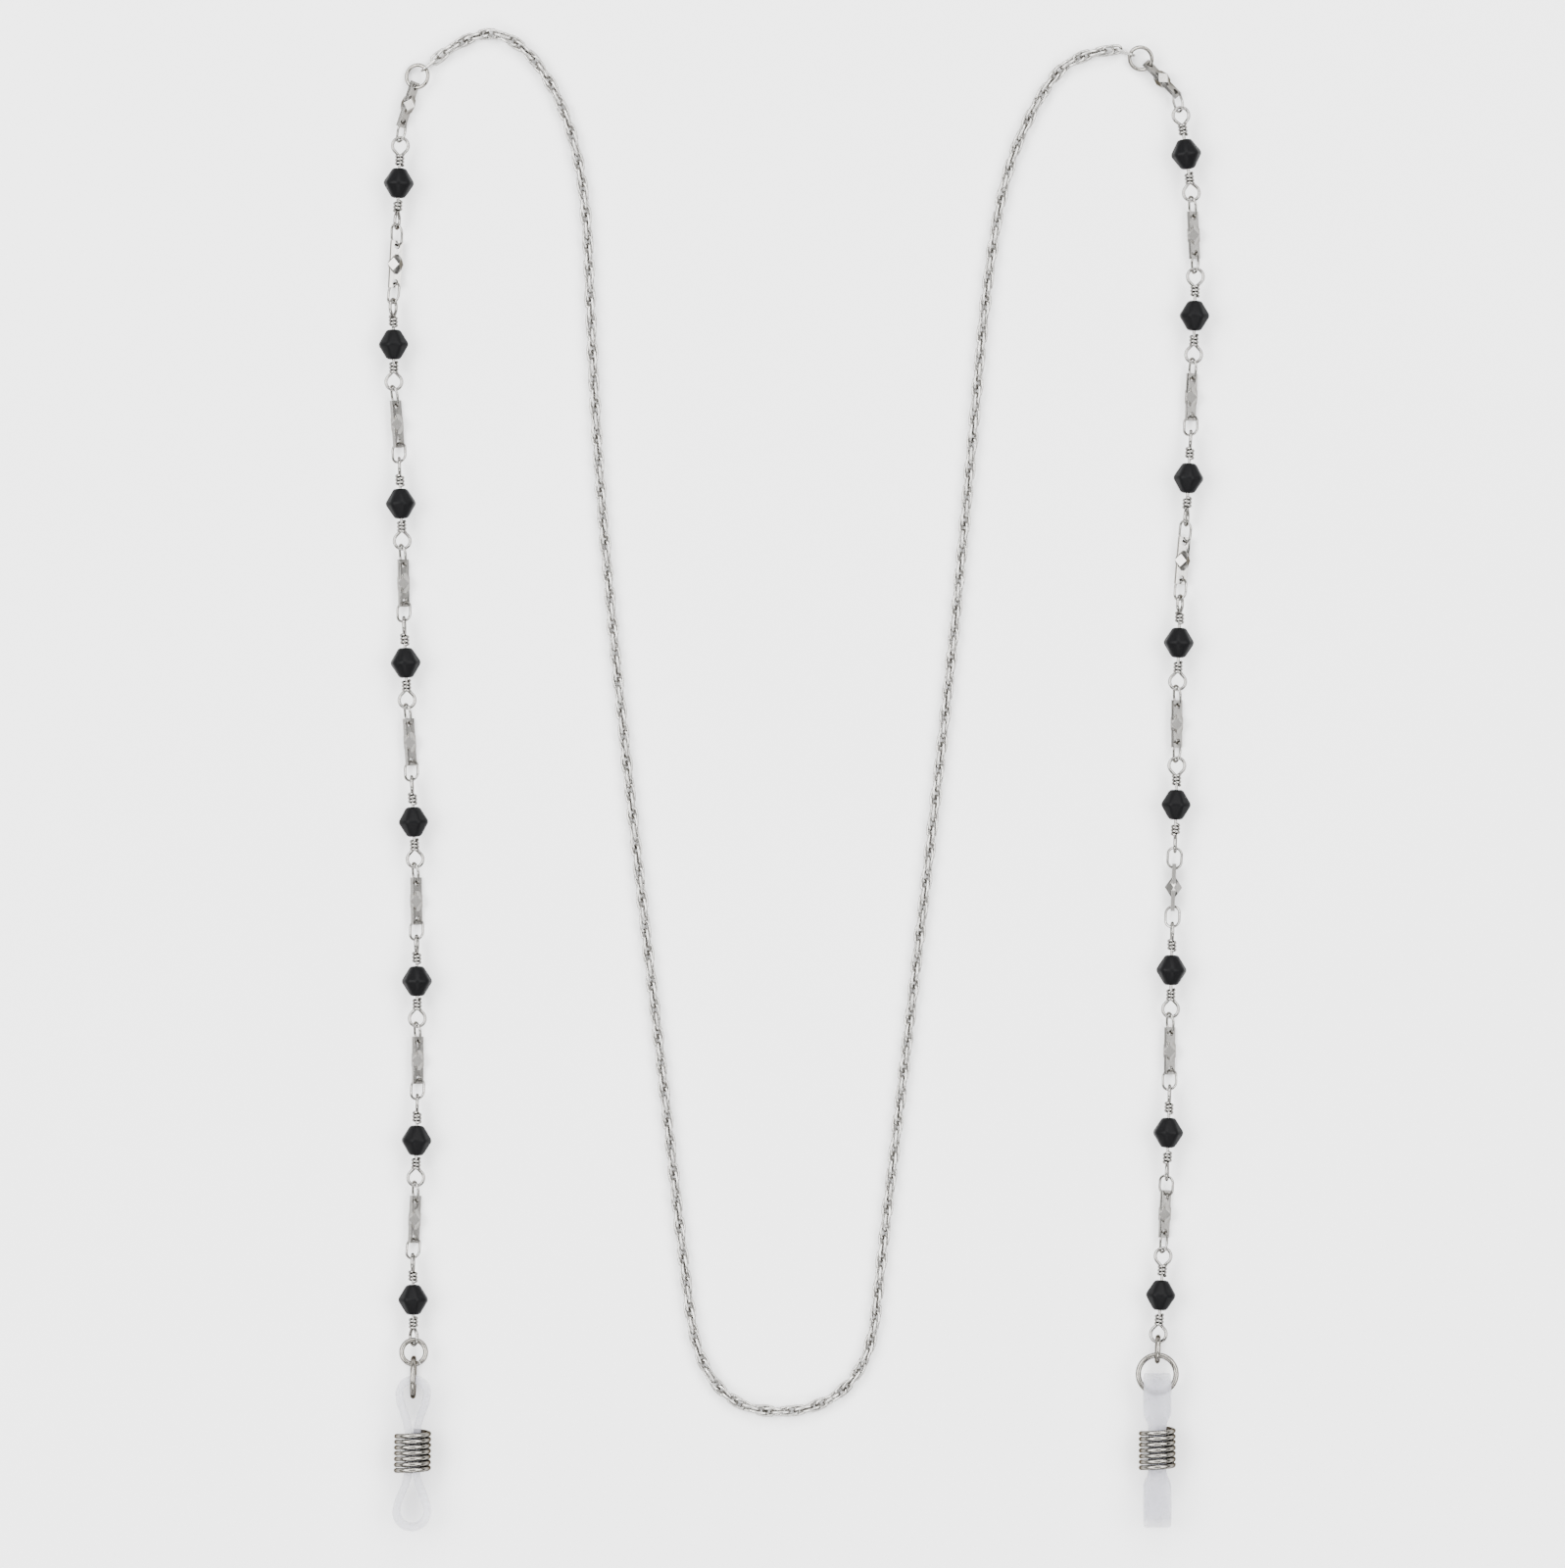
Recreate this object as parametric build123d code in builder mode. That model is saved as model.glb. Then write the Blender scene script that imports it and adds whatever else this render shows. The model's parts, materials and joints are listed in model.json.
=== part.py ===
from build123d import *
import os
from math import cos, hypot, pi, radians, sin, sqrt, tan

# Beaded chain that holds a pair of glasses round the neck.
# It lies flat on z = 0: a rope chain runs down the middle and back up, and from each of its
# ends a strand of faceted bar links and wired beads runs down to an elastic temple loop.
# Every strand piece is made in its own frame: local +Z points up the chain towards the rope,
# and a ring lies in its local XZ plane. "roll" turns local X out of the horizontal.

# ---- driving dimensions, mm and degrees ----
ROPE_D = 1.5
ROPE_Z = ROPE_D / 2
ROPE_ROUTE = [
    (-38.4, 92.0), (-32.6, 90.4), (-27.6, 82.8), (-25.0, 72.0), (-24.4, 55.0), (-23.5, 38.0),
    (-21.3, 14.0), (-18.3, -13.0), (-15.2, -39.5), (-13.1, -58.5), (-11.6, -68.6),
    (-6.4, -74.5), (3.4, -74.3), (9.2, -68.4), (10.4, -57.0), (12.7, -37.5), (15.9, -10.5),
    (19.1, 17.5), (21.6, 44.0), (23.1, 61.0), (25.4, 75.0), (29.8, 84.6), (33.9, 89.0),
]
ROPE_LINK_LENGTH, ROPE_LINK_WIDTH, ROPE_LINK_WIRE = 2.6, 1.5, 0.32

TOP_RING_OD, TOP_RING_WIRE, TOP_RING_GAP, TOP_RING_GAP_AT = 3.2, 0.45, 14, 90
OVAL_LENGTH, OVAL_WIDTH, OVAL_WIRE = 2.9, 2.0, 0.3

BAR_LENGTH, TAB_WIDTH, TAB_THICK = 5.7, 1.5, 0.45
HOLE_PITCH, HOLE_D = 4.4, 0.76
GEM_WIDTH, GEM_HALF_LENGTH, GEM_SLOPE = 2.1, 1.32, 0.69
HOLE_SLACK = 0.12

BEAD_D, BEAD_LENGTH, BEAD_END_D, BEAD_HOLE_D, BEAD_SIDES = 4.0, 3.6, 1.7, 0.9, 8
BEAD_TWIST = 17
WIRE_D, LOOP_R, LOOP_NECK = 0.4, 0.95, 2.3
WRAP_R, WRAP_PITCH, WRAP_TURNS, WRAP_LIFT = 0.37, 0.42, 3, 0.05
CLEARANCE = 0.1
LOOP_GAP = (OVAL_WIRE + WIRE_D) / 2 + CLEARANCE
OVAL_REACH = HOLE_SLACK + OVAL_LENGTH - OVAL_WIRE

SMALL_RING_OD, SMALL_RING_WIRE = 3.5, 0.6
LARGE_RING_OD, LARGE_RING_WIRE = 5.2, 0.65
CLOSED_RING_GAP, CLOSED_RING_GAP_AT = 2, 60

BAND_WIDTH, BAND_THICK = 3.3, 0.9
BAND_UPPER_R, BAND_LOWER_R, BAND_LENGTH = 2.1, 2.3, 18.6
BAND_NECK_D, BAND_BELOW_RING_CENTRE = 2.9, 0.75
PINCH_GAP, NECK_LAP, NECK_SLACK = 0.05, 0.4, 0.35
COIL_OD, COIL_WIRE, COIL_PITCH, COIL_TURNS = 4.5, 0.7, 0.8, 6
COIL_TOP = 6.4

TABLE_GAP = 0.02
BEAD_Z = BEAD_D / 2 + TABLE_GAP
TOP_RING_Z, TOP_RING_ROLL = 0.92, 20
BAND_Z = {"left": 2.55, "right": 2.47}
SMALL_RING_FOOT_Z = 2.3

# Each side: where the top ring lies, which way it meets the rope and the first bar, the line
# that the strand follows down the table, the length of its hand-wrapped wires, and the rolls
# of its bars, of the ovals above and below each bar, and of the two loops of each wire.
SIDES = {
    "left": {
        "ring_centre": (-45.35, 86.25),
        "to_rope": 42,
        "line": [
            (-45.78, 84.95), (-47.2, 80.6), (-47.6, 73.4), (-47.9, 64.0), (-48.6, 53.8),
            (-47.7, 44.0), (-47.2, 35.0), (-46.8, 15.0), (-45.6, -4.3), (-45.3, -23.7),
            (-45.3, -42.6), (-46.1, -61.0), (-45.7, -67.0), (-45.8, -72.0), (-46.1, -100.0),
        ],
        "wire_length": 10.9,
        "bars": [30, 65, 45, 45, 45, 45, 45, 45],
        "ovals_above": [0, 42, 65, 65, 65, 65, 65, 65],
        "ovals_below": [56, 42, 25, 25, 25, 25, 25, 25],
        "upper_loops": [-6, 110, 88, 92, 90, 96, 88, 94],
        "lower_loops": [104, 0, 0, -4, 2, -2, 0, 62],
        "small_ring": 0,
        "large_ring": 90,
    },
    "right": {
        "ring_centre": (41.7, 88.4),
        "to_rope": 160,
        "line": [
            (42.72, 87.48), (45.7, 84.6), (47.0, 80.4), (47.6, 77.6), (48.0, 68.5),
            (48.5, 57.9), (47.7, 48.0), (47.7, 38.4), (46.6, 27.0), (46.1, 18.2),
            (46.0, -1.1), (45.3, -20.4), (45.1, -39.9), (44.2, -59.3), (43.8, -64.0),
            (43.6, -70.0), (43.7, -100.0),
        ],
        "wire_length": 11.3,
        "bars": [30, 45, 45, 65, 45, 0, 45, 45],
        "ovals_above": [0, 65, 65, 42, 65, 15, 65, 25],
        "ovals_below": [56, 65, 25, 42, 65, 15, 25, 65],
        "upper_loops": [-6, 0, 92, 110, 0, 88, 94, -2],
        "lower_loops": [2, 0, 104, 0, 94, -2, 96, 12],
        "small_ring": 90,
        "large_ring": 0,
    },
}
UNITS = 8


# ---- placing ----
def on_line(line, start, reach):
    """The point of a line of straight runs that is `reach` away from `start`, further down."""
    for (x0, y0), (x1, y1) in zip(line, line[1:]):
        dx, dy, fx, fy = x1 - x0, y1 - y0, x0 - start[0], y0 - start[1]
        a, b, c = dx * dx + dy * dy, fx * dx + fy * dy, fx * fx + fy * fy - reach * reach
        if b * b < a * c:
            continue
        t = (-b + sqrt(b * b - a * c)) / a
        if 0 <= t <= 1 and y0 + t * dy < start[1]:
            return x0 + t * dx, y0 + t * dy
    raise ValueError("the line is too short")


def frame(origin, upward, roll):
    """A plane whose Z is the direction up the chain and whose X is turned by roll."""
    z_axis = upward.normalized()
    level = z_axis.cross(Vector(0, 0, 1)).normalized()
    lifted = level.cross(z_axis)
    x_axis = level * cos(radians(roll)) + lifted * sin(radians(roll))
    return Plane(origin=origin, x_dir=x_axis, z_dir=z_axis)


def resting_bar_z(roll):
    """Height of a bar's axis when the lowest corner or facet of its gem lies on the table."""
    return GEM_WIDTH / 2 * max(abs(cos(radians(roll))), abs(sin(radians(roll)))) + TABLE_GAP


def lies_flat(roll):
    """True where a loop's plane is nearer to the table's than to upright."""
    return abs(sin(radians(roll))) < 0.5


def hole_to_tip(drop, loop_roll):
    """Level distance from a bar's hole to the tip of the wire loop that its oval holds."""
    if lies_flat(loop_roll):
        return sqrt((OVAL_REACH - LOOP_GAP) ** 2 - drop**2)
    return sqrt(OVAL_REACH**2 - drop**2) - LOOP_GAP


def place_oval(hole, tip, loop_roll, roll, upward):
    """The oval from a bar's hole to a wire loop's tip; upward is 1 above the bar, -1 below it."""
    end = tip
    if not lies_flat(loop_roll):
        end = tip + Vector(tip.X - hole.X, tip.Y - hole.Y).normalized() * LOOP_GAP
    along = (end - hole).normalized()
    middle = hole + along * (HOLE_SLACK + (OVAL_LENGTH - OVAL_WIRE) / 2)
    return oval_shape.moved(frame(middle, along * upward, roll).location)


# ---- pieces, each in its own frame ----
def round_ring(outer_d, wire_d, gap_degrees, turned):
    """A jump ring of round wire in the XZ plane, with its gap turned from local +Z."""
    with BuildPart() as ring:
        with BuildSketch(Plane.XY.rotated((0, turned + gap_degrees / 2, 0))):
            with Locations(((outer_d - wire_d) / 2, 0)):
                Circle(wire_d / 2)
        revolve(axis=Axis.Y, revolution_arc=360 - gap_degrees)
    return ring.part


def oval_ring(length, width, wire_d):
    """A closed oval link of round wire in the XZ plane."""
    end_r = (width - wire_d) / 2
    half_run = (length - width) / 2
    with BuildPart() as ring:
        with BuildLine(Plane.XZ) as path:
            Line((end_r, -half_run), (end_r, half_run))
            ThreePointArc((end_r, half_run), (0, length / 2 - wire_d / 2), (-end_r, half_run))
            Line((-end_r, half_run), (-end_r, -half_run))
            ThreePointArc((-end_r, -half_run), (0, wire_d / 2 - length / 2), (end_r, -half_run))
        with BuildSketch(Plane((end_r, 0, -half_run), z_dir=(0, 0, 1))):
            Circle(wire_d / 2)
        sweep(path=path.line)
    return ring.part


def gem_slopes():
    """Two blunt pyramids base to base, which a gem's slopes are cut to."""
    end = GEM_WIDTH - 2 * GEM_SLOPE * GEM_HALF_LENGTH
    with BuildPart() as slopes:
        for direction in (1, -1):
            with BuildSketch(Plane.XY):
                Rectangle(GEM_WIDTH, GEM_WIDTH)
            with BuildSketch(Plane.XY.offset(direction * GEM_HALF_LENGTH)):
                Rectangle(end, end)
            loft()
    return slopes.part


def bar():
    """A faceted bar link: a flat strip with a hole in each end and a cut gem at its middle."""
    slopes = gem_slopes()
    with BuildPart() as link:
        with BuildSketch(Plane.XY):
            Rectangle(GEM_WIDTH / sqrt(2), GEM_WIDTH / sqrt(2), rotation=45)
        extrude(amount=GEM_HALF_LENGTH, both=True)
        add(slopes, mode=Mode.INTERSECT)
        Box(TAB_THICK, TAB_WIDTH, BAR_LENGTH)
        with BuildSketch(Plane.YZ):
            with Locations((0, HOLE_PITCH / 2), (0, -HOLE_PITCH / 2)):
                Circle(HOLE_D / 2)
        extrude(amount=TAB_THICK, both=True, mode=Mode.SUBTRACT)
    return link.part


def bead():
    """A faceted bicone bead, pierced along local Z."""
    with BuildPart() as cone:
        for half in (BEAD_LENGTH / 2, -BEAD_LENGTH / 2):
            with BuildSketch(Plane.XY):
                RegularPolygon(BEAD_D / 2, BEAD_SIDES)
            with BuildSketch(Plane.XY.offset(half)):
                RegularPolygon(BEAD_END_D / 2, BEAD_SIDES)
            loft(ruled=True)
        Hole(BEAD_HOLE_D / 2)
    return cone.part


def wire_loop(tip, roll):
    """Half of one wire end: from its tip round to the neck, in a plane turned by roll."""
    neck = tip - LOOP_NECK
    centre = tip - LOOP_R
    drop = centre - neck
    touch = LOOP_R * LOOP_R / drop
    side = sqrt(LOOP_R * LOOP_R - touch * touch)
    across, along = cos(radians(roll)), -sin(radians(roll))
    plane = Plane(origin=(0, 0, 0), x_dir=(across, along, 0), z_dir=(along, -across, 0))
    with BuildPart() as half:
        with BuildLine(plane) as path:
            ThreePointArc((0, tip), (LOOP_R, centre), (side, centre - touch))
            Line((side, centre - touch), (0, neck))
        with BuildSketch(Plane(origin=plane.from_local_coords((0, tip, 0)), z_dir=plane.x_dir)):
            Circle(WIRE_D / 2)
        sweep(path=path.line)
        mirror(about=Plane(origin=(0, 0, 0), z_dir=plane.x_dir))
    return half.part


def bead_wire(length, upper_roll, lower_roll):
    """The wire through a bead: a loop and three wraps at each end of a straight core."""
    neck = length / 2 - LOOP_NECK
    with BuildPart() as wire:
        Cylinder(WIRE_D / 2, 2 * neck + WIRE_D)
        add(wire_loop(length / 2, upper_roll))
        add(wire_loop(length / 2, -lower_roll).rotate(Axis.X, 180))
        for end in (1, -1):
            for turn in range(WRAP_TURNS):
                height = neck + WRAP_LIFT - turn * WRAP_PITCH
                with Locations((0, 0, end * height)):
                    Torus(WRAP_R, WIRE_D / 2)
    return wire.part


def band():
    """An elastic loop pinched to a figure of eight, its width along local Y, its top at 0."""
    neck_top, neck_foot = -COIL_TOP, -COIL_TOP - COIL_PITCH * COIL_TURNS - COIL_WIRE
    with BuildPart() as strip:
        with BuildSketch(Plane.XZ):
            for middle, radius, pinch in (
                (-BAND_UPPER_R, BAND_UPPER_R, neck_top),
                (BAND_LOWER_R - BAND_LENGTH, BAND_LOWER_R, neck_foot),
            ):
                teardrop(middle, radius, pinch, BAND_THICK + PINCH_GAP)
                teardrop(middle, radius - BAND_THICK, pinch, PINCH_GAP, Mode.SUBTRACT)
            with Locations((0, (neck_top + neck_foot) / 2)):
                Rectangle(2 * BAND_THICK, neck_top - neck_foot + NECK_LAP)
        extrude(amount=BAND_WIDTH / 2, both=True)
        with BuildSketch(Plane.XY.offset(neck_foot - NECK_SLACK)):
            Circle(BAND_WIDTH)
            Circle(BAND_NECK_D / 2, mode=Mode.SUBTRACT)
        extrude(amount=neck_top - neck_foot + 2 * NECK_SLACK, mode=Mode.SUBTRACT)
    return strip.part


def teardrop(middle, radius, pinch, pinch_r, mode=Mode.ADD):
    """A round end at height `middle` drawn out by tangent lines to a small round at `pinch`."""
    reach = pinch - middle
    lean = (radius - pinch_r) / abs(reach)
    wide, rise = sqrt(1 - lean * lean), lean * (1 if reach > 0 else -1)
    with BuildSketch(Plane.XY, mode=Mode.PRIVATE) as drop:
        with Locations((0, middle)):
            Circle(radius)
        with Locations((0, pinch)):
            Circle(pinch_r)
        with BuildLine(Plane.XY):
            Polyline(
                (radius * wide, middle + radius * rise), (pinch_r * wide, pinch + pinch_r * rise),
                (-pinch_r * wide, pinch + pinch_r * rise), (-radius * wide, middle + radius * rise),
                close=True,
            )
        make_face()
    add(drop.sketch, mode=mode)


def coil():
    """The spring-wire grip round the band's neck, its axis along local Z, its foot at 0."""
    middle_r = (COIL_OD - COIL_WIRE) / 2
    height = COIL_PITCH * COIL_TURNS
    with BuildPart() as grip:
        with BuildLine() as path:
            Helix(COIL_PITCH, height, middle_r)
        with BuildSketch(Plane(origin=path.line @ 0, z_dir=path.line % 0)):
            Circle(COIL_WIRE / 2)
        sweep(path=path.line)
    return grip.part


# ---- writing ----
os.makedirs("parts", exist_ok=True)
frames = {}


def place(name, shape, plane):
    """Puts a piece in its frame, labels it and writes its file."""
    piece = shape.moved(plane.location)
    piece.label = name
    export_step(piece, f"parts/{name}.step")
    frames[name] = plane


def gather(name, shapes):
    """Writes several separate solids as one sub-part."""
    group = Compound(children=[solid for shape in shapes for solid in shape.solids()])
    group.label = name
    export_step(group, f"parts/{name}.step")


bar_shape, bead_shape, band_shape, coil_shape = bar(), bead(), band(), coil()
oval_shape = oval_ring(OVAL_LENGTH, OVAL_WIDTH, OVAL_WIRE)
rope_link_shape = oval_ring(ROPE_LINK_LENGTH, ROPE_LINK_WIDTH, ROPE_LINK_WIRE)
rope_ends, rope_end_links = [], []

for side, facts in SIDES.items():
    # Top ring, lying nearly flat between the rope's last link and the first bar.
    line = facts["line"]
    centre = Vector(*facts["ring_centre"], TOP_RING_Z)
    rope_way = Vector(cos(radians(facts["to_rope"])), sin(radians(facts["to_rope"])), 0)
    ring_r = (TOP_RING_OD - TOP_RING_WIRE) / 2
    hole = Vector(*line[0], resting_bar_z(facts["bars"][0]))
    ring_frame = frame(centre, centre - Vector(hole.X, hole.Y, centre.Z), TOP_RING_ROLL)
    top_ring = round_ring(TOP_RING_OD, TOP_RING_WIRE, TOP_RING_GAP, TOP_RING_GAP_AT)
    place(f"{side}_top_ring", top_ring, ring_frame)

    # The rope's last link hangs in the top ring.
    inward = (rope_way - ring_frame.y_dir * rope_way.dot(ring_frame.y_dir)).normalized()
    held = centre + inward * ring_r
    link_run = ROPE_LINK_LENGTH - ROPE_LINK_WIRE
    overlap = (TOP_RING_WIRE + ROPE_LINK_WIRE) / 2 + CLEARANCE
    far = centre + rope_way * (ring_r - overlap + link_run)
    link_way = (Vector(far.X, far.Y, ROPE_Z) - held).normalized()
    link_middle = held + link_way * (link_run / 2 - overlap)
    rope_end_links.append(rope_link_shape.moved(frame(link_middle, link_way, 90).location))
    rope_ends.append(held + link_way * (link_run - overlap))

    # Bars, ovals, wires and beads, from the rope down.
    tip = None
    for unit in range(UNITS):
        roll, bar_z = facts["bars"][unit], resting_bar_z(facts["bars"][unit])
        upper_loop, lower_loop = facts["upper_loops"][unit], facts["lower_loops"][unit]
        ovals = []
        if unit > 0:
            loop_above = facts["lower_loops"][unit - 1]
            reach = hole_to_tip(tip.Z - bar_z, loop_above)
            hole = Vector(*on_line(line, (tip.X, tip.Y), reach), bar_z)
            ovals.append(place_oval(hole, tip, loop_above, facts["ovals_above"][unit], 1))
        foot = Vector(*on_line(line, (hole.X, hole.Y), HOLE_PITCH), bar_z)
        bar_frame = frame((hole + foot) * 0.5, hole - foot, roll)
        reach = hole_to_tip(BEAD_Z - bar_z, upper_loop)
        tip = Vector(*on_line(line, (foot.X, foot.Y), reach), BEAD_Z)
        ovals.append(place_oval(foot, tip, upper_loop, facts["ovals_below"][unit], -1))
        gather(f"{side}_bar_link_{unit + 1}", [bar_shape.moved(bar_frame.location), *ovals])
        frames[f"{side}_bar_link_{unit + 1}"] = bar_frame

        length = facts["wire_length"]
        end = Vector(*on_line(line, (tip.X, tip.Y), length), BEAD_Z)
        wire_frame = frame((tip + end) * 0.5, tip - end, 0)
        place(f"{side}_bead_wire_{unit + 1}", bead_wire(length, upper_loop, lower_loop), wire_frame)
        place(f"{side}_bead_{unit + 1}", bead_shape, frame(wire_frame.origin, tip - end, BEAD_TWIST * unit))
        tip = end

    # Two jump rings, then the elastic loop and its coil.
    for name, outer_d, wire_d, above_d in (
        ("small_ring", SMALL_RING_OD, SMALL_RING_WIRE, WIRE_D),
        ("large_ring", LARGE_RING_OD, LARGE_RING_WIRE, SMALL_RING_WIRE),
    ):
        ring_d = outer_d - wire_d
        inside = (wire_d + above_d) / 2 + CLEARANCE
        foot_z = SMALL_RING_FOOT_Z
        reach = sqrt((ring_d - inside) ** 2 - (foot_z - tip.Z) ** 2)
        foot = Vector(*on_line(line, (tip.X, tip.Y), reach), foot_z)
        upward = (tip - foot).normalized()
        ring_centre = foot + upward * (ring_d / 2)
        roll = facts[name]
        if name == "large_ring" and roll == 90:
            ring_centre += Vector(0, 0, outer_d / 2 + TABLE_GAP - ring_centre.Z)
        ring = round_ring(outer_d, wire_d, CLOSED_RING_GAP, CLOSED_RING_GAP_AT)
        place(f"{side}_{name}", ring, frame(ring_centre, upward, roll))
        tip = foot
    top = ring_centre - upward * (BAND_BELOW_RING_CENTRE - BAND_THICK)
    top = Vector(top.X, top.Y, BAND_Z[side])
    foot = Vector(*on_line(line, (top.X, top.Y), BAND_LENGTH), BAND_Z[side])
    band_frame = frame(top, top - foot, facts["large_ring"] - 90)
    place(f"{side}_band", band_shape, band_frame)
    coil_foot = top + (foot - top).normalized() * (COIL_TOP + COIL_WIRE / 2 + COIL_PITCH * COIL_TURNS)
    place(f"{side}_coil", coil_shape, frame(coil_foot, top - foot, 0))

gather("rope_end_links", rope_end_links)

# ---- rope chain, as the tube that its links fill ----
route = [(rope_ends[0].X, rope_ends[0].Y), *ROPE_ROUTE, (rope_ends[1].X, rope_ends[1].Y)]
radii = []
for before, corner, after in zip(route, route[1:], route[2:]):
    run_in = Vector(corner[0] - before[0], corner[1] - before[1])
    run_out = Vector(after[0] - corner[0], after[1] - corner[1])
    turn = radians(run_in.get_angle(run_out))
    radii.append(0.45 * min(run_in.length, run_out.length) / tan(turn / 2))

with BuildPart() as rope_chain:
    with BuildLine(Plane.XY.offset(ROPE_Z)) as path:
        FilletPolyline(*route, radius=radii)
    with BuildSketch(Plane(origin=path.line @ 0, z_dir=path.line % 0)):
        Circle(ROPE_D / 2)
    sweep(path=path.line)
rope_chain.part.label = "rope_chain"
export_step(rope_chain.part, "parts/rope_chain.step")

for name, plane in frames.items():
    if "_bead_" in name and "wire" not in name:
        print(name, "at", [round(value, 1) for value in plane.origin])
runs = [hypot(b[0] - a[0], b[1] - a[1]) for a, b in zip(route, route[1:])]
rope_length = path.wire().length
print("rope length", round(rope_length, 1), "smallest radius", round(min(radii), 2))
print("rope runs", [round(run, 1) for run in runs])
print("rope radii", [round(radius, 1) for radius in radii])
section = pi * ROPE_D**2 / 4
print("rope volume over section x length", round(rope_chain.part.volume / section / rope_length, 4))
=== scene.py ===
"""Beaded chain for a pair of glasses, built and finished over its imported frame.

The chain lies flat on a table. A rope of small oval rings runs down the middle and back up, and
from each of its ends a strand of bar links and wire-wrapped beads runs down to an elastic loop
with a spring-wire grip. Pieces are worked in millimetres, in their own frame, whose Z runs up
the chain towards the rope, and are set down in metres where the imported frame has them.
"""

import json
import logging
import math
from dataclasses import dataclass
from enum import Enum

import bmesh
import bpy
from mathutils import Matrix, Vector

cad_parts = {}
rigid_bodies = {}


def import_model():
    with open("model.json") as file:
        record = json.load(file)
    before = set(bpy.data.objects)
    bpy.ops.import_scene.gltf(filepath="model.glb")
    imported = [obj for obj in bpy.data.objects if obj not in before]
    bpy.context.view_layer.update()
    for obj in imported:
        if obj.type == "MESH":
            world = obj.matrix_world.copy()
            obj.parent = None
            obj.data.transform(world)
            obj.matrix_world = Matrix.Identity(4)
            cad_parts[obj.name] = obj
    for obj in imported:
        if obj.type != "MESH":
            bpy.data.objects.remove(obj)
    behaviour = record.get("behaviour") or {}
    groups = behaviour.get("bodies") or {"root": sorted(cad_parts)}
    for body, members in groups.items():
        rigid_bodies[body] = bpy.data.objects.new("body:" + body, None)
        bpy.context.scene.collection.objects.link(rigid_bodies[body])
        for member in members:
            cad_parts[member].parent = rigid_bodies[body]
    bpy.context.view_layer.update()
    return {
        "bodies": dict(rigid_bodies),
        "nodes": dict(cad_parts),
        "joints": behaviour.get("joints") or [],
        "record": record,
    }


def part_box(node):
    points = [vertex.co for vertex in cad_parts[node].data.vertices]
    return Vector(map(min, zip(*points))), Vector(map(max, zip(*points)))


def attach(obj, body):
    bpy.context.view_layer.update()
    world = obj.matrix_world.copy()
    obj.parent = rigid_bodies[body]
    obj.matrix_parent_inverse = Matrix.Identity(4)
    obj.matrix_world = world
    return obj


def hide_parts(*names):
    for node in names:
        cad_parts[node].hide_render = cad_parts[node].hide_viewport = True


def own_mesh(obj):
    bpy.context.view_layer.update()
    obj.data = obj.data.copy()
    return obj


MM = 0.001
WELD_MM = 0.0005
FLAT_DEGREES = 0.5
Pair = tuple[float, float]
Triple = tuple[float, float, float]
Colour = Triple
Socket = bpy.types.NodeSocket
Edges = list[bmesh.types.BMEdge]
log = logging.getLogger("beaded_chain")


class Side(Enum):
    """The two strands, as seen from above with the rope's ends at the top."""

    LEFT = "left"
    RIGHT = "right"


class Slot(Enum):
    """The record's material slots."""

    ROPE = "rope_silver"
    LINK = "link_silver"
    WIRE = "wire_silver"
    DARK = "dark_silver"
    BEAD = "black_glass"
    ELASTIC = "clear_silicone"


# ---- finishes ----
# Where a noise or a slope starts and stops to count, and how a pattern is drawn out along Y.
PATCH_EDGE = (0.42, 0.68)
RUB_EDGE = (0.3, 0.7)
# How far a surface faces up where the painted shade on its flanks is full, and where it is gone.
FLANK_SHADE_EDGE = (0.3, 0.75)
BRUSHED, EVEN = (1, 0.12, 1), (1, 1, 1)
BRUSH_LINES, DRAW_LINES = (1, 0.08, 1), (1, 0.4, 1)
RIM_TINT = (0.35, 0.34, 0.32, 1.0)


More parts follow.
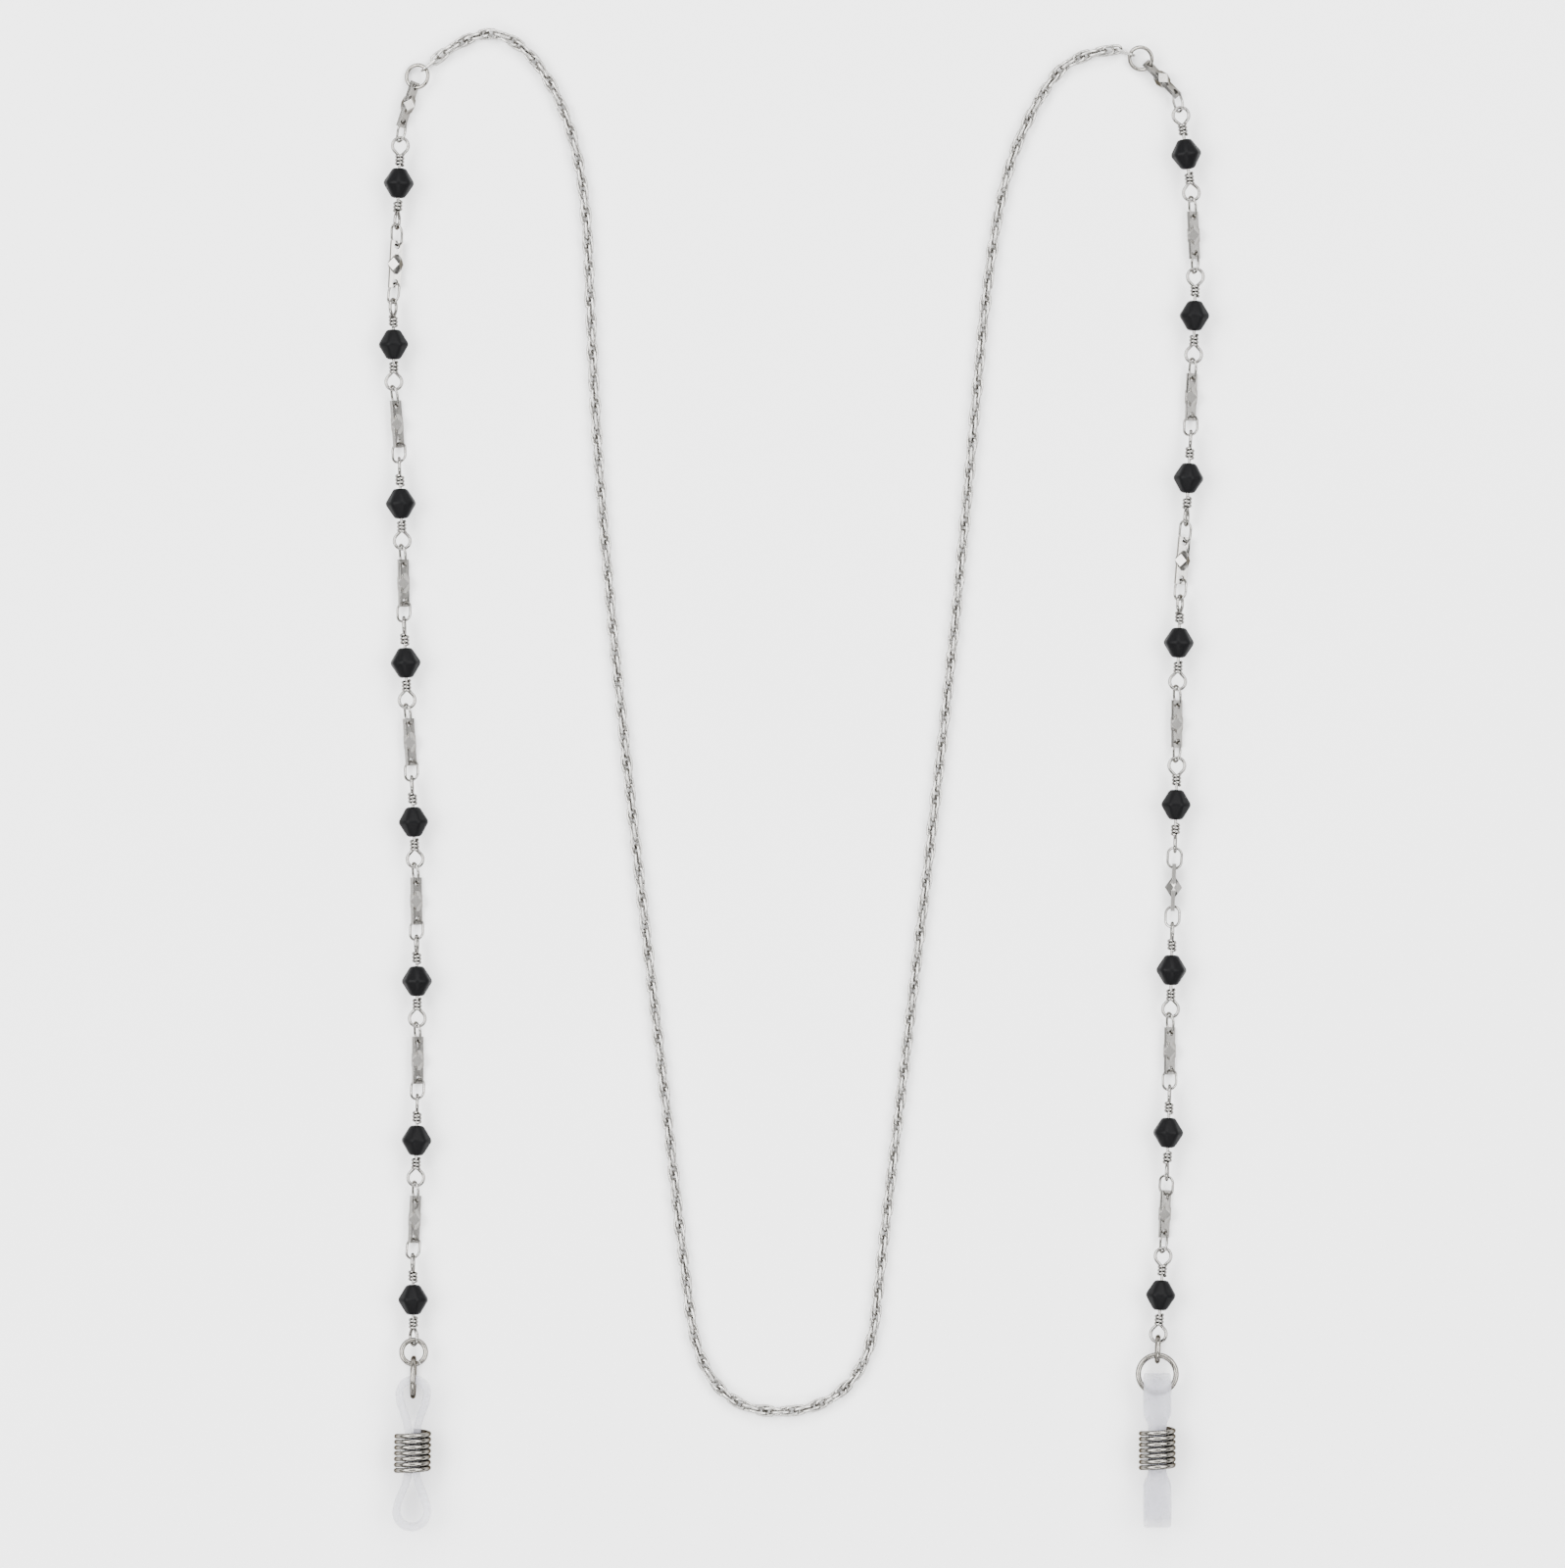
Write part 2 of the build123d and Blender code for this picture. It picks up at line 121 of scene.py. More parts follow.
class NodeBench:
    """Lays out the nodes of one material on the Object coordinates of its piece."""

    def __init__(self, name: str) -> None:
        """Starts a material with its shader and its coordinates.

        Args:
            name: the material's name.
        """
        self.material = bpy.data.materials.new(name)
        self.material.use_nodes = True
        self.tree = self.material.node_tree
        self.shader = self.tree.nodes["Principled BSDF"]
        coordinates = self.tree.nodes.new("ShaderNodeTexCoord")
        self.place, self.normal = coordinates.outputs["Object"], coordinates.outputs["Normal"]

    def set(self, **values: object) -> None:
        """Sets the shader's own sockets, named with underscores for spaces."""
        for key, value in values.items():
            self.shader.inputs[key.replace("_", " ")].default_value = value

    def feed(self, socket: Socket, name: str) -> None:
        """Links a socket to the shader's input of this name."""
        self.tree.links.new(socket, self.shader.inputs[name])

    def noise(self, size_mm: float, detail: float = 3.0, stretch: Triple = (1, 1, 1)) -> Socket:
        """Cloudy noise on the piece.

        Args:
            size_mm: how wide a cloud is.
            detail: how many finer layers it has.
            stretch: how much denser it is along X, Y and Z.

        Returns:
            The noise's value socket.
        """
        mapping = self.tree.nodes.new("ShaderNodeMapping")
        mapping.inputs["Scale"].default_value = stretch
        self.tree.links.new(self.place, mapping.inputs["Vector"])
        cloud = self.tree.nodes.new("ShaderNodeTexNoise")
        cloud.inputs["Scale"].default_value = 1 / (size_mm * MM)
        cloud.inputs["Detail"].default_value = detail
        self.tree.links.new(mapping.outputs["Vector"], cloud.inputs["Vector"])
        return cloud.outputs["Fac"]

    def upright(self) -> Socket:
        """How far the surface faces up or down in the piece's own frame.

        Returns:
            The socket of a value from 0, on its sides, to 1.
        """
        parts = self.tree.nodes.new("ShaderNodeSeparateXYZ")
        self.tree.links.new(self.normal, parts.inputs["Vector"])
        node = self.tree.nodes.new("ShaderNodeMath")
        node.operation = "ABSOLUTE"
        self.tree.links.new(parts.outputs["Z"], node.inputs[0])
        return node.outputs["Value"]

    def attribute(self, name: str) -> Socket:
        """An attribute of the piece's own mesh.

        Args:
            name: the attribute's name.

        Returns:
            Its value socket, which gives 0 where the piece has no such attribute.
        """
        node = self.tree.nodes.new("ShaderNodeAttribute")
        node.attribute_name = name
        return node.outputs["Fac"]

    def between(self, value: Socket, spread: Pair, result: Pair) -> Socket:
        """Carries a value from one spread to another, held at its ends.

        Args:
            value: the socket that is carried over.
            spread: the lowest and highest value that counts.
            result: what those two become.

        Returns:
            The socket of the result.
        """
        node = self.tree.nodes.new("ShaderNodeMapRange")
        node.inputs["From Min"].default_value, node.inputs["From Max"].default_value = spread
        node.inputs["To Min"].default_value, node.inputs["To Max"].default_value = result
        self.tree.links.new(value, node.inputs["Value"])
        return node.outputs["Result"]

    def larger(self, first: Socket, second: Socket) -> Socket:
        """The larger of two values.

        Args:
            first, second: the values' sockets.

        Returns:
            The socket of the result.
        """
        node = self.tree.nodes.new("ShaderNodeMath")
        node.operation = "MAXIMUM"
        self.tree.links.new(first, node.inputs[0])
        self.tree.links.new(second, node.inputs[1])
        return node.outputs["Value"]

    def tint(self, share: Socket, first: Colour, second: Colour) -> Socket:
        """A mix of two colours.

        Args:
            share: how much of the second there is, from 0 to 1.
            first, second: the colours.

        Returns:
            The socket of the mix.
        """
        ramp = self.tree.nodes.new("ShaderNodeValToRGB")
        ramp.color_ramp.elements[0].color = (*first, 1)
        ramp.color_ramp.elements[1].color = (*second, 1)
        self.tree.links.new(share, ramp.inputs["Fac"])
        return ramp.outputs["Color"]

    def relief(self, height: Socket, depth_mm: float, strength: float) -> None:
        """Raises the surface, for its shading only.

        Args:
            height: the socket of the height.
            depth_mm: how high the highest place stands.
            strength: how much of that shows, from 0 to 1.
        """
        bump = self.tree.nodes.new("ShaderNodeBump")
        bump.inputs["Distance"].default_value = depth_mm * MM
        bump.inputs["Strength"].default_value = strength
        self.tree.links.new(height, bump.inputs["Height"])
        self.feed(bump.outputs["Normal"], "Normal")


@dataclass(frozen=True)
class Silver:
    """Plated metal with thin, patchy tarnish, and painted shade on its flanks and marked hollows.

    Attributes:
        slot: the record's slot that it stands for.
        clean, tarnished: its colour where it is bright, and where tarnish and painted shade lie.
        polish, dull: its roughness in the same two places.
        patch_mm: how wide a patch of tarnish is.
        tarnish: how much of it shows on open surfaces, from 0 to 1.
        flank_shade: how much painted shade lies down the sides, from 0 to 1.
        brushed: whether fine lines run along it.
    """

    slot: Slot
    clean: Colour
    tarnish_and_shade: Colour
    polish: float
    dull: float
    patch_mm: float
    tarnish: float
    flank_shade: float
    brushed: bool = False

    def material(self) -> bpy.types.Material:
        """Lays out the finish.

        Returns:
            Its material.
        """
        bench = NodeBench(self.slot.value)
        bench.set(Metallic=1.0, Specular_Tint=RIM_TINT)
        tarnish_and_shade_share = bench.between(bench.noise(self.patch_mm), PATCH_EDGE, (0.0, self.tarnish))
        # Painted shade in the hollows that the mesh marks, between wire turns and deep in the rope.
        tarnish_and_shade_share = bench.larger(tarnish_and_shade_share, bench.attribute("hollow_shade"))
        # Painted shade down the sides, darker the less the surface faces up.
        painted_flank_shade = bench.between(bench.upright(), FLANK_SHADE_EDGE, (self.flank_shade, 0.0))
        tarnish_and_shade_share = bench.larger(tarnish_and_shade_share, painted_flank_shade)
        bench.feed(bench.tint(tarnish_and_shade_share, self.clean, self.tarnish_and_shade), "Base Color")
        rubbing = bench.noise(self.patch_mm * 0.4, 4.0, BRUSHED if self.brushed else EVEN)
        bench.feed(bench.between(rubbing, RUB_EDGE, (self.polish, self.dull)), "Roughness")
        scratches = bench.noise(0.09, 2.0, BRUSH_LINES if self.brushed else DRAW_LINES)
        bench.relief(scratches, depth_mm=0.02, strength=0.15)
        return bench.material


@dataclass(frozen=True)
class SatinGlass:
    """Black glass, etched to a satin surface and rubbed a little along its edges.

    Attributes:
        slot: the record's slot that it stands for.
        body, rubbed: its colour on open faces and in the rubbed clouds.
        satin, sleek: its roughness where it is etched and where it is rubbed.
    """

    slot: Slot
    body: Colour
    rubbed: Colour
    satin: float
    sleek: float

    def material(self) -> bpy.types.Material:
        """Lays out the finish.

        Returns:
            Its material.
        """
        bench = NodeBench(self.slot.value)
        clouds = bench.between(bench.noise(1.3), (0.45, 0.75), (0.0, 1.0))
        edges = bench.larger(clouds, bench.attribute("edge"))
        bench.feed(bench.tint(edges, self.body, self.rubbed), "Base Color")
        bench.feed(bench.between(edges, (0.0, 1.0), (self.satin, self.sleek)), "Roughness")
        bench.set(IOR=1.14)
        bench.relief(bench.noise(0.06, 2.0), depth_mm=0.01, strength=0.25)
        return bench.material


@dataclass(frozen=True)
class Elastic:
    """Clear silicone that scatters light, with faint bloom on its skin.

    Attributes:
        slot: the record's slot that it stands for.
        body, bloom: its colour where it is clear and where it has bloomed.
        clearness: the share of the light that it bends through itself.
        cover: how much of what lies behind it is hidden.
    """

    slot: Slot
    body: Colour
    bloom: Colour
    clearness: float
    cover: float

    def material(self) -> bpy.types.Material:
        """Lays out the finish.

        Returns:
            Its material.
        """
        bench = NodeBench(self.slot.value)
        clouds = bench.between(bench.noise(1.8, 2.0, (1, 0.2, 1)), (0.35, 0.65), (0.0, 1.0))
        bench.feed(bench.tint(clouds, self.body, self.bloom), "Base Color")
        bench.feed(bench.between(bench.noise(1.5), (0.35, 0.7), (0.22, 0.36)), "Roughness")
        bench.set(IOR=1.41, Transmission_Weight=self.clearness, Alpha=self.cover)
        bench.set(Subsurface_Weight=0.4, Subsurface_Scale=0.6 * MM)
        bench.set(Subsurface_Radius=(1.0, 1.0, 1.0))
        bench.relief(bench.noise(1.2, 2.0), depth_mm=0.03, strength=0.1)
        return bench.material


FINISHES = {
    finish.slot: finish
    for finish in (
        Silver(
            Slot.ROPE, clean=(0.50, 0.49, 0.47), tarnish_and_shade=(0.06, 0.052, 0.044),
            polish=0.20, dull=0.36, patch_mm=1.6, tarnish=0.3, flank_shade=0.2,
        ),
        Silver(
            Slot.LINK, clean=(0.31, 0.302, 0.288), tarnish_and_shade=(0.07, 0.064, 0.056),
            polish=0.18, dull=0.30, patch_mm=2.2, tarnish=0.12, flank_shade=0.9, brushed=True,
        ),
        Silver(
            Slot.WIRE, clean=(0.28, 0.272, 0.26), tarnish_and_shade=(0.05, 0.045, 0.04),
            polish=0.15, dull=0.28, patch_mm=1.1, tarnish=0.15, flank_shade=0.9,
        ),
        Silver(
            Slot.DARK, clean=(0.23, 0.219, 0.2), tarnish_and_shade=(0.045, 0.038, 0.031),
            polish=0.18, dull=0.32, patch_mm=1.2, tarnish=0.15, flank_shade=0.9,
        ),
        SatinGlass(
            Slot.BEAD, body=(0.0012, 0.0012, 0.0013), rubbed=(0.004, 0.004, 0.0044),
            satin=0.52, sleek=0.4,
        ),
        Elastic(
            Slot.ELASTIC, body=(0.40, 0.40, 0.455), bloom=(0.54, 0.54, 0.59),
            clearness=0.15, cover=0.36,
        ),
    )
}


class Finishing:
    """Makes each finish's material once and hands it out."""

    def __init__(self) -> None:
        """Starts with no material made."""
        self.made: dict[Slot, bpy.types.Material] = {}

    def of(self, slot: Slot) -> bpy.types.Material:
        """The material of a slot's finish.

        Args:
            slot: the record's slot.

        Returns:
            The material, which is the same one each time.
        """
        if slot not in self.made:
            self.made[slot] = FINISHES[slot].material()
        return self.made[slot]

    def dress(self, piece: bpy.types.Object, slot: Slot) -> None:
        """Gives a piece a finish, and no other.

        Args:
            piece: a new piece or one carried over from the frame.
            slot: the record's slot of the finish.
        """
        piece.data.materials.clear()
        piece.data.materials.append(self.of(slot))


# ---- workshop ----
def chain_frame(origin: Vector, upward: Vector, roll: float = 0.0) -> Matrix:
    """The frame of a piece on the chain.

    Args:
        origin: where its own origin lies, in metres.
        upward: the way up the chain, which becomes its Z.
        roll: degrees by which its X is turned out of the level.

    Returns:
        The matrix from the piece's frame to the chain's.
    """
    z_axis = upward.normalized()
    level = z_axis.cross(Vector((0, 0, 1))).normalized()
    lifted = level.cross(z_axis)
    x_axis = level * math.cos(math.radians(roll)) + lifted * math.sin(math.radians(roll))
    turned = Matrix((x_axis, z_axis.cross(x_axis), z_axis)).transposed().to_4x4()
    return Matrix.Translation(origin) @ turned


def facing(origin: Vector, along: Vector) -> Matrix:
    """A matrix that stands at origin and looks along a direction with its Z."""
    return Matrix.Translation(origin) @ along.to_track_quat("Z", "X").to_matrix().to_4x4()


def verts_of(geometry: list) -> list[bmesh.types.BMVert]:
    """The points among what an operator made."""
    return [item for item in geometry if isinstance(item, bmesh.types.BMVert)]


def clamp(value: float) -> float:
    """A value held between 0 and 1."""
    return max(0.0, min(1.0, value))


class Workpiece:
    """A piece on the bench: a bmesh in millimetres, in the piece's own frame."""

    def __init__(self) -> None:
        """Starts with an empty bmesh."""
        self.bm = bmesh.new()

    def section(self, radius: float, sides: int, place: Matrix) -> Edges:
        """The round section that a wire starts with.

        Args:
            radius: the wire's.
            sides: faces round it.
            place: its place, whose Z is the wire's way.

        Returns:
            The section's edges.
        """
        made = bmesh.ops.create_circle(
            self.bm, cap_ends=False, segments=sides, radius=radius, matrix=place,
        )
        return list(dict.fromkeys(edge for vert in made["verts"] for edge in vert.link_edges))

    def front(self, geometry: list) -> Edges:
        """The edges of a wire's new end.

        Args:
            geometry: what an operator made.

        Returns:
            Those of its edges whose points are both new.
        """
        verts = set(verts_of(geometry))
        edges = [item for item in geometry if isinstance(item, bmesh.types.BMEdge)]
        return [edge for edge in edges if set(edge.verts) <= verts]

    def draw(self, end: Edges, move: Vector) -> Edges:
        """Draws a wire out straight.

        Args:
            end: the edges of its open end.
            move: how far, and which way.

        Returns:
            The edges of its new end.
        """
        made = bmesh.ops.extrude_edge_only(self.bm, edges=end)["geom"]
        bmesh.ops.translate(self.bm, verts=verts_of(made), vec=move)
        return self.front(made)

    def wind(self, end: Edges, centre: Vector, axis: Vector, degrees: float,
             steps: int, climb: float = 0.0) -> Edges:
        """Bends a wire round an axis.

        Args:
            end: the edges of its open end.
            centre, axis: the line that it goes round.
            degrees: how far round it goes.
            steps: how many faces long the bend is.
            climb: how far it moves along the axis meanwhile.

        Returns:
            The edges of its new end.
        """
        verts = dict.fromkeys(vert for edge in end for vert in edge.verts)
        made = bmesh.ops.spin(
            self.bm, geom=[*verts, *end], cent=centre, axis=axis, dvec=axis * (climb / steps),
            angle=math.radians(degrees), steps=steps, use_merge=False, use_duplicate=False,
        )["geom_last"]
        return self.front(made)

    def close(self) -> None:
        """Closes every open end with a face."""
        rims = [edge for edge in self.bm.edges if edge.is_boundary]
        bmesh.ops.holes_fill(self.bm, edges=rims, sides=0)

    def ease(self, angle: float, width: float, segments: int = 2,
             clear: float = -1.0) -> list[bmesh.types.BMFace]:
        """Rounds every edge that is sharper than an angle.

        Args:
            angle: degrees between the faces.
            width: millimetres from the edge to where the rounding starts.
            segments: faces across the rounding.
            clear: how far from the piece's Z an edge has to be, which saves the edges of a bore.

        Returns:
            The faces of the roundings.
        """
        limit = math.radians(angle)
        sharp = [
            edge for edge in self.bm.edges
            if edge.calc_face_angle(0.0) > limit and all(v.co.xy.length > clear for v in edge.verts)
        ]
        made = bmesh.ops.bevel(
            self.bm, geom=sharp, offset=width, offset_type="OFFSET", affect="EDGES",
            segments=segments, profile=0.5, material=-1, clamp_overlap=True,
        )
        return made["faces"]

    def mark(self, name: str, verts: list[bmesh.types.BMVert], value: float) -> None:
        """Writes an attribute on some of the piece's points.

        Args:
            name: the attribute, which the piece has already.
            verts: the points.
            value: what they all get.
        """
        layer = self.bm.verts.layers.float.get(name)
        for vert in verts:
            vert[layer] = value

    def darken(self, verts: list[bmesh.types.BMVert], bright: float, dark: float) -> None:
        """Paints shade into the hollows between the turns of a wound wire.

        Args:
            verts: the wire's points.
            bright: distance from the piece's Z beyond which no shade is painted.
            dark: distance at which its turns meet, within which the painted shade is full.
        """
        layer = self.bm.verts.layers.float.get("hollow_shade")
        for vert in verts:
            vert[layer] = clamp((bright - vert.co.xy.length) / (bright - dark))

    def set_down(self, name: str, place: Matrix, crease: float = 40.0) -> bpy.types.Object:
        """Finishes the mesh and sets it down in metres, on an object at the origin.

        Args:
            name: the piece's name.
            place: the piece's frame.
            crease: degrees over which an edge stays sharp.

        Returns:
            The piece.
        """
        bmesh.ops.remove_doubles(self.bm, verts=self.bm.verts, dist=WELD_MM)
        bmesh.ops.recalc_face_normals(self.bm, faces=self.bm.faces)
        bmesh.ops.transform(self.bm, matrix=place @ Matrix.Scale(MM, 4), verts=self.bm.verts)
        mesh = bpy.data.meshes.new(name)
        self.bm.to_mesh(mesh)
        self.bm.free()
        mesh.shade_smooth()
        mesh.set_sharp_from_angle(angle=math.radians(crease))
        piece = bpy.data.objects.new(name, mesh)
        bpy.context.scene.collection.objects.link(piece)
        facets = piece.modifiers.new("flat_facets", "WEIGHTED_NORMAL")
        facets.weight, facets.keep_sharp = 100, True
        return piece


@dataclass
class Works:
    """What every sub-assembly is given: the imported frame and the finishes."""

    frame: dict
    finishing: Finishing

    def joint(self, name: str) -> tuple[Vector, Vector]:
        """Where a joint is.

        Args:
            name: the joint.

        Returns:
            Its place in metres, and its axis turned to run up the chain.
        """
        facts = next(joint for joint in self.frame["joints"] if joint["name"] == name)
        axis = Vector(facts["axis"])
        if axis.y < 0:
            axis.negate()
        return Vector(facts.get("pos_m") or (0, 0, 0)), axis

    def node(self, name: str) -> bpy.types.Object:
        """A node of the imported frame."""
        return self.frame["nodes"][name]

    def stand_in(self, piece: bpy.types.Object, node: str, slot: Slot) -> None:
        """Lets a new piece stand for a node, ride on the node's body and take its finish.

        Args:
            piece: the new piece.
            node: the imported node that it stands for, whose body has the same name.
            slot: its finish.
        """
        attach(piece, node)
        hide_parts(node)
        self.finishing.dress(piece, slot)
        log.info("%s stands for %s, %d faces", piece.name, node, len(piece.data.polygons))

    def refined(self, node: str, name: str, slot: Slot, sharp: float, width: float) -> None:
        """A copy of a node with its cut edges rubbed round, which stands for it.

        Args:
            node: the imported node.
            name: the new piece's name.
            slot: its finish.
            sharp: degrees over which an edge is rubbed.
            width: millimetres of rounding.
        """
        work = Workpiece()
        work.bm.from_mesh(self.node(node).data)
        bmesh.ops.transform(work.bm, matrix=Matrix.Scale(1 / MM, 4), verts=work.bm.verts)
        bmesh.ops.remove_doubles(work.bm, verts=work.bm.verts, dist=WELD_MM)
        bmesh.ops.dissolve_limit(
            work.bm, angle_limit=math.radians(FLAT_DEGREES), use_dissolve_boundaries=False,
            verts=work.bm.verts, edges=work.bm.edges, delimit={"NORMAL"},
        )
        work.ease(sharp, width)
        self.stand_in(work.set_down(name, Matrix.Identity(4), crease=30.0), node, slot)


# ---- sub-assemblies ----
@dataclass
class RopeChain:
    """The rope: small oval rings in two interlinked spirals along a smooth line.

    Attributes:
        route: the line's points in millimetres, from the left end to the right.
        height: how high the line lies.
        length, diameter: of the whole rope; neither is used.
        ring_length, ring_width, wire: a ring's outer size and its wire.
        pitch: how far a ring's middle is from the next one's.
        turn: degrees by which a ring is turned about the line from the one before.
        steps, sides: faces round a ring and round its wire.
        waist: share of a ring's radius within which its points stay when it is drawn out.
        open, shade: how deep in the rope painted shade starts, and how fast it grows from there.
    """

    route: tuple[Pair, ...] = (
        (-43.04, 88.33), (-38.4, 92.0), (-32.6, 90.4), (-27.6, 82.8), (-25.0, 72.0), (-24.4, 55.0),
        (-23.5, 38.0), (-21.3, 14.0), (-18.3, -13.0), (-15.2, -39.5), (-13.1, -58.5),
        (-11.6, -68.6), (-6.4, -74.5), (3.4, -74.3), (9.2, -68.4), (10.4, -57.0), (12.7, -37.5),
        (15.9, -10.5), (19.1, 17.5), (21.6, 44.0), (23.1, 61.0), (25.4, 75.0), (29.8, 84.6),
        (33.9, 89.0), (38.73, 89.48),
    )
    height: float = 0.75
    length: float = 362.8
    diameter: float = 1.5
    ring_length: float = 2.55
    ring_width: float = 1.5
    wire: float = 0.36
    pitch: float = 0.92
    turn: float = 50.0
    steps: int = 12
    sides: int = 5
    waist: float = 0.1
    open: float = 0.32
    shade: float = 1.5

    def line(self) -> list[Vector]:
        """Draws the rope's smooth line.

        Returns:
            Its points, in metres.
        """
        curve = bpy.data.curves.new("rope_line", "CURVE")
        curve.dimensions = "3D"
        curve.resolution_u = 16
        spline = curve.splines.new("NURBS")
        spline.points.add(len(self.route) - 1)
        for point, (x, y) in zip(spline.points, self.route):
            point.co = (x * MM, y * MM, self.height * MM, 1)
        spline.order_u = 3
        spline.use_endpoint_u = True
        holder = bpy.data.objects.new("rope_line", curve)
        mesh = bpy.data.meshes.new_from_object(holder)
        points = [vert.co.copy() for vert in mesh.vertices]
        bpy.data.objects.remove(holder)
        bpy.data.curves.remove(curve)
        bpy.data.meshes.remove(mesh)
        return points

    def ring(self) -> bpy.types.Mesh:
        """One oval ring, with its length along X and painted shade marked on its inner side.

        Returns:
            Its mesh, in metres.
        """
        work = Workpiece()
        middle = (self.ring_width - self.wire) / 2
        place = facing(Vector((middle, 0, 0)), Vector((0, 1, 0)))
        start = work.section(self.wire / 2, self.sides, place)
        verts = dict.fromkeys(vert for edge in start for vert in edge.verts)
        bmesh.ops.spin(
            work.bm, geom=[*verts, *start], cent=(0, 0, 0), axis=(0, 0, 1), angle=math.tau,
            steps=self.steps, use_merge=True, use_duplicate=False,
        )
        stretch = (self.ring_length - self.ring_width) / 2
        for vert in work.bm.verts:
            if abs(vert.co.x) > self.waist * middle:
                vert.co.x += math.copysign(stretch, vert.co.x)
        bmesh.ops.recalc_face_normals(work.bm, faces=work.bm.faces)
        reach = self.ring_width / 2
        # Painted shade: the deeper a point lies in the rope, the darker it is painted.
        layer = work.bm.verts.layers.float.new("hollow_shade")
        for vert in work.bm.verts:
            depth = 1 - math.hypot(vert.co.y, vert.co.z) / reach
            vert[layer] = clamp(self.shade * (depth - self.open))
        bmesh.ops.transform(work.bm, matrix=Matrix.Scale(MM, 4), verts=work.bm.verts)
        mesh = bpy.data.meshes.new("rope_ring")
        work.bm.to_mesh(mesh)
        work.bm.free()
        return mesh

    def stations(self, points: list[Vector]) -> list[tuple[Vector, Vector]]:
        """Spaces the rings evenly on the line.

        Args:
            points: the line's.

        Returns:
            Each ring's middle, and which way the line runs there.
        """
        total = sum((b - a).length for a, b in zip(points, points[1:]))
        count = round(total / (self.pitch * MM))
        pitch = total / count
        found, gone, due = [], 0.0, pitch / 2
        for before, after in zip(points, points[1:]):
            run = after - before
            while due <= gone + run.length and len(found) < count:
                found.append((before + run * ((due - gone) / run.length), run.normalized()))
                due += pitch
            gone += run.length
        return found

    def build(self, works: Works) -> None:
        """Args:
            works: the frame and the finishes.
        """
        points = self.line()
        ring = self.ring()
        bm = bmesh.new()
        for number, (middle, along) in enumerate(self.stations(points)):
            level = along.cross(Vector((0, 0, 1))).normalized()
            turned = Matrix((along, level, along.cross(level))).transposed().to_4x4()
            roll = Matrix.Rotation(math.radians(self.turn * number), 4, "X")
            place = Matrix.Translation(middle) @ turned @ roll
            first = len(bm.verts)
            bm.from_mesh(ring)
            bm.verts.ensure_lookup_table()
            bmesh.ops.transform(bm, matrix=place, verts=bm.verts[first:])
        mesh = bpy.data.meshes.new("rope")
        bm.to_mesh(mesh)
        bm.free()
        bpy.data.meshes.remove(ring)
        mesh.shade_smooth()
        rope = bpy.data.objects.new("rope", mesh)
        bpy.context.scene.collection.objects.link(rope)
        works.stand_in(rope, "rope_chain", Slot.ROPE)
        works.finishing.dress(works.node("rope_end_links"), Slot.ROPE)


